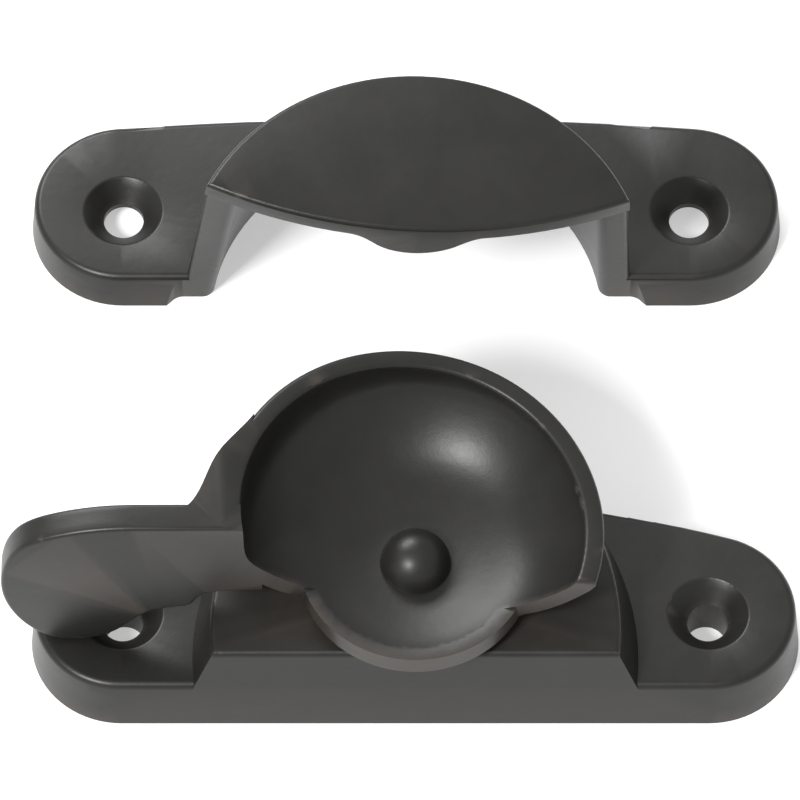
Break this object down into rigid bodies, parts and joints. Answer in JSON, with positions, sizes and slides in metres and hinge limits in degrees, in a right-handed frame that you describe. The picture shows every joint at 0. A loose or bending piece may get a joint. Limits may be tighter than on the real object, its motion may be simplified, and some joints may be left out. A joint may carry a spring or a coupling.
{
  "type": "window sash lock",
  "caption": "Cast sash lock: a base with a raised boss, a turning crescent cam with an upright lever, and a separate hooded keeper.",
  "frame": {"origin": "on the mounting face, midway between the lock's two screw holes", "axes": "+X along the base, away from the lever; +Y from the lock towards the keeper; +Z out of the mounting face, away from the sash"},
  "size_m": [0.0731, 0.066, 0.0272],
  "materials": {
    "base_coat": "satin black coating",
    "cam_coat": "satin black coating",
    "keeper_coat": "satin black coating",
    "stud_coat": "satin black, lightly worn",
    "plated_steel": "dull zinc plate",
    "spring_steel": "blued spring steel"
  },
  "bodies": {
    "base": {"base_plate": "base_coat", "thrust_washer": "plated_steel", "leaf_spring": "spring_steel"},
    "cam": {"cam_lever": "cam_coat", "pivot_stud": "stud_coat", "spring_washer": "spring_steel", "detent_block": "plated_steel", "retaining_washer": "plated_steel"},
    "keeper": {"keeper": "keeper_coat"}
  },
  "joints": [
    {"name": "cam_turn", "type": "hinge", "parent": "base", "child": "cam", "pos_m": [0, 0.0011, 0], "axis": [0, 0, 1], "range_deg": [0, 180], "deforming": ["leaf_spring"]},
    {"name": "sash_travel", "type": "slide", "parent": "base", "child": "keeper", "axis": [0, 0, 1], "range_m": [0, 0.03]}
  ]
}
